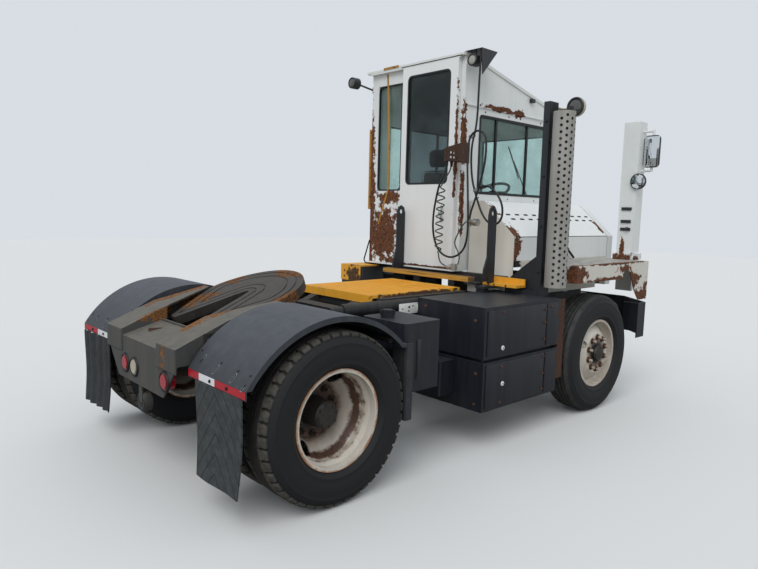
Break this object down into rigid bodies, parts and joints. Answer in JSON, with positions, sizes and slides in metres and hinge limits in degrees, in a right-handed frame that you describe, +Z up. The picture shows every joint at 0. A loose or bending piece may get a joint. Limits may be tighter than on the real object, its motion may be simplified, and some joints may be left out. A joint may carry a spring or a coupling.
{
  "type": "terminal tractor",
  "caption": "Yard tractor with offset cab, sloped engine cover, perforated exhaust shield and a lifting boom that carries a tilting fifth wheel; steered single front tyres, twin rear tyres.",
  "frame": {"origin": "on the ground, on the centreline, at mid length", "axes": "+X forward (cab end), +Y to the vehicle's left, +Z up"},
  "size_m": [4.77, 2.47, 3.126],
  "materials": {
    "white_paint": "satin, rusted at edges",
    "black_paint": "satin",
    "yellow_paint": "satin",
    "frame_steel": "dull",
    "worn_steel": "greasy and worn",
    "shield_paint": "satin",
    "cast": "rough",
    "tyre": "matte",
    "flap_rubber": "matte",
    "glass": "clear",
    "mirror": "mirror",
    "lamp": "glossy",
    "tape": "reflective",
    "wood": "weathered",
    "seat_fabric": "woven",
    "inside_plastic": "matte",
    "hose_rubber": "matte",
    "air_line": "satin",
    "chrome_rod": "polished"
  },
  "bodies": {
    "chassis": {"frame_rails": "frame_steel", "frame_brackets": "frame_steel", "rear_deck": "frame_steel", "rear_axle": "cast", "rear_fenders": "black_paint", "mud_flaps": "flap_rubber", "reflector_strips": "tape", "road_lamps": "lamp", "front_axle": "cast", "engine": "cast", "side_box": "black_paint", "side_box_covers": "black_paint", "hydraulic_tank": "black_paint", "fuel_tank": "black_paint", "left_steps": "black_paint", "yellow_steps": "yellow_paint", "plank": "wood", "cab_posts": "black_paint", "cab_carriers": "frame_steel", "right_deck": "white_paint", "nose": "white_paint", "front_bumper": "black_paint", "mirror_post": "white_paint", "right_mirrors": "mirror", "stack_post": "black_paint", "muffler": "cast", "stack_shield": "shield_paint"},
    "boom": {"boom_arms": "frame_steel", "boom_deck": "yellow_paint"},
    "fifth_wheel": {"fifth_wheel": "worn_steel"},
    "lift_barrels": {"lift_barrels": "frame_steel"},
    "lift_rods": {"lift_rods": "chrome_rod"},
    "knuckle_left": {"knuckle_left": "cast"},
    "knuckle_right": {"knuckle_right": "cast"},
    "tie_rod": {"tie_rod": "frame_steel"},
    "wheel_front_left": {"tyre_front_left": "tyre", "rim_front_left": "white_paint"},
    "wheel_front_right": {"tyre_front_right": "tyre", "rim_front_right": "white_paint"},
    "wheels_rear_left": {"tyres_rear_left": "tyre", "rims_rear_left": "white_paint"},
    "wheels_rear_right": {"tyres_rear_right": "tyre", "rims_rear_right": "white_paint"},
    "cab": {"cab_shell": "white_paint", "cab_roof": "white_paint", "cab_glass": "glass", "cab_inside": "inside_plastic", "seat_cushions": "seat_fabric", "steering_wheel": "inside_plastic", "cab_handles": "yellow_paint", "left_mirrors": "mirror", "work_lamps": "black_paint", "hose_bracket": "worn_steel", "air_hose": "hose_rubber", "air_line_coil": "air_line", "light_cable": "hose_rubber", "line_couplings": "cast"},
    "rear_door": {"rear_door": "white_paint", "rear_door_glass": "glass"},
    "hood": {"hood": "white_paint"}
  },
  "joints": [
    {"name": "boom_lift", "type": "hinge", "parent": "chassis", "child": "boom", "pos_m": [0.269, 0, 0.955], "axis": [0, 1, 0], "range_deg": [0, 13]},
    {"name": "fifth_wheel_tilt", "type": "hinge", "parent": "boom", "child": "fifth_wheel", "pos_m": [-1.556, 0, 0.985], "axis": [0, 1, 0], "range_deg": [0, 24]},
    {"name": "lift_barrel_swing", "type": "hinge", "parent": "chassis", "child": "lift_barrels", "pos_m": [-0.261, 0, 0.6], "axis": [0, 1, 0], "range_deg": [0, 17.69]},
    {"name": "lift_rod_slide", "type": "slide", "parent": "lift_barrels", "child": "lift_rods", "axis": [-0.9285, 0, 0.3714], "range_m": [0, 0.1306]},
    {"name": "steer_left", "type": "hinge", "parent": "chassis", "child": "knuckle_left", "pos_m": [1.214, 0.88, 0.515], "axis": [0, 0, 1], "range_deg": [-40, 40]},
    {"name": "steer_right", "type": "hinge", "parent": "chassis", "child": "knuckle_right", "pos_m": [1.214, -0.88, 0.515], "axis": [0, 0, 1], "range_deg": [-40, 40]},
    {"name": "tie_rod_turn", "type": "hinge", "parent": "knuckle_left", "child": "tie_rod", "pos_m": [1.014, 0.88, 0.41], "axis": [0, 0, 1], "range_deg": [-40, 40]},
    {"name": "roll_front_left", "type": "hinge", "parent": "knuckle_left", "child": "wheel_front_left", "pos_m": [1.214, 1.08, 0.515], "axis": [0, 1, 0], "continuous": true},
    {"name": "roll_front_right", "type": "hinge", "parent": "knuckle_right", "child": "wheel_front_right", "pos_m": [1.214, -1.08, 0.515], "axis": [0, 1, 0], "continuous": true},
    {"name": "roll_rear_left", "type": "hinge", "parent": "chassis", "child": "wheels_rear_left", "pos_m": [-1.711, 0.9175, 0.515], "axis": [0, 1, 0], "continuous": true},
    {"name": "roll_rear_right", "type": "hinge", "parent": "chassis", "child": "wheels_rear_right", "pos_m": [-1.711, -0.9175, 0.515], "axis": [0, 1, 0], "continuous": true},
    {"name": "cab_tilt", "type": "hinge", "parent": "chassis", "child": "cab", "pos_m": [2.244, 0.45, 1.15], "axis": [0, 1, 0], "range_deg": [0, 45]},
    {"name": "rear_door_slide", "type": "slide", "parent": "cab", "child": "rear_door", "axis": [0, 1, 0], "range_m": [0, 0.44]},
    {"name": "hood_open", "type": "hinge", "parent": "chassis", "child": "hood", "pos_m": [1.289, -0.199, 1.816], "axis": [-1, 0, 0], "range_deg": [0, 60]}
  ],
  "couplings": [
    {"joint": "lift_barrel_swing", "follows": "boom_lift", "ratio": 1.338},
    {"joint": "lift_rod_slide", "follows": "boom_lift", "m_per_rad": 0.567},
    {"joint": "steer_right", "follows": "steer_left", "ratio": 1},
    {"joint": "tie_rod_turn", "follows": "steer_left", "ratio": -1}
  ]
}
